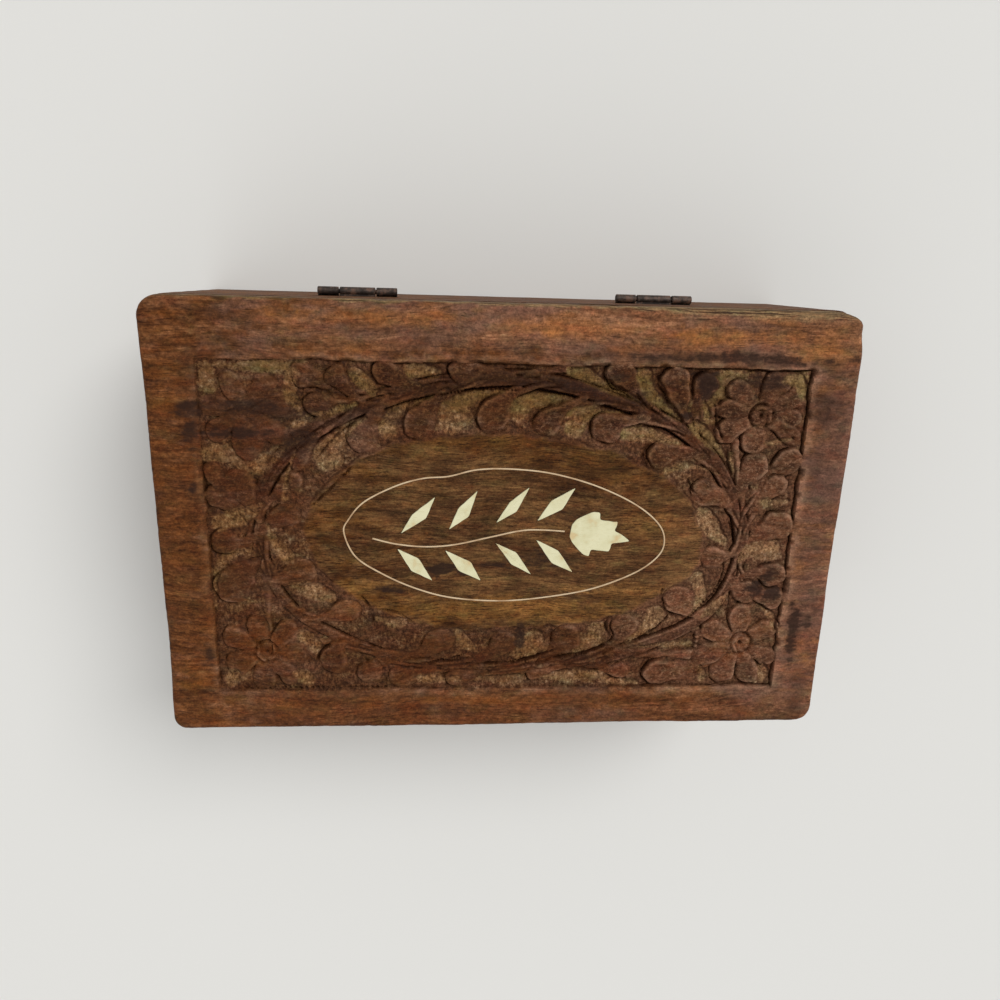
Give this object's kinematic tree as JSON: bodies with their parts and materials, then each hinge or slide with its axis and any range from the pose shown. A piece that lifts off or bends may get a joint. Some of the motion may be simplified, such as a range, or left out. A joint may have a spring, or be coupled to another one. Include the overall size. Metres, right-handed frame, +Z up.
{
  "type": "carved wooden box",
  "caption": "Small hinged wooden box for papers and keepsakes, with a vine carved in relief on the lid round an oval medallion inlaid with a cream flower spray.",
  "frame": {"origin": "centre of the box's underside, on the face that it rests on", "axes": "+X to the right along the length, +Y towards the hinged back, +Z up through the lid"},
  "size_m": [0.155, 0.102, 0.0503],
  "materials": {
    "lid_wood": "old dry hardwood, carved, worn and stained",
    "box_wood": "old dry hardwood, worn",
    "base_wood": "old dry hardwood, unpolished",
    "inlay": "cream bone or a substitute, rubbed smooth",
    "hinge_metal": "steel gone dark brown with age",
    "nail_metal": "rusted steel"
  },
  "bodies": {
    "box": {"front_wall": "box_wood", "back_wall": "box_wood", "left_wall": "box_wood", "right_wall": "box_wood", "base_panel": "base_wood", "base_nail_1": "nail_metal", "base_nail_2": "nail_metal", "base_nail_3": "nail_metal", "base_nail_4": "nail_metal", "base_nail_5": "nail_metal", "base_nail_6": "nail_metal", "base_nail_7": "nail_metal", "base_nail_8": "nail_metal", "hinge_left_box_leaf": "hinge_metal", "hinge_left_pin": "hinge_metal", "hinge_left_box_screw_1": "hinge_metal", "hinge_left_box_screw_2": "hinge_metal", "hinge_right_box_leaf": "hinge_metal", "hinge_right_pin": "hinge_metal", "hinge_right_box_screw_1": "hinge_metal", "hinge_right_box_screw_2": "hinge_metal"},
    "lid": {"lid_panel": "lid_wood", "inlay_ring": "inlay", "inlay_stem": "inlay", "inlay_flower": "inlay", "inlay_leaf_1": "inlay", "inlay_leaf_2": "inlay", "inlay_leaf_3": "inlay", "inlay_leaf_4": "inlay", "inlay_leaf_5": "inlay", "inlay_leaf_6": "inlay", "inlay_leaf_7": "inlay", "inlay_leaf_8": "inlay", "lid_rim_front": "lid_wood", "lid_rim_back": "lid_wood", "lid_rim_left": "lid_wood", "lid_rim_right": "lid_wood", "hinge_left_lid_leaf": "hinge_metal", "hinge_left_lid_screw_1": "hinge_metal", "hinge_left_lid_screw_2": "hinge_metal", "hinge_right_lid_leaf": "hinge_metal", "hinge_right_lid_screw_1": "hinge_metal", "hinge_right_lid_screw_2": "hinge_metal"}
  },
  "joints": [
    {"name": "lid_hinge", "type": "hinge", "parent": "box", "child": "lid", "pos_m": [0, 0.05105, 0.03015], "axis": [-1, 0, 0], "range_deg": [0, 180]}
  ]
}
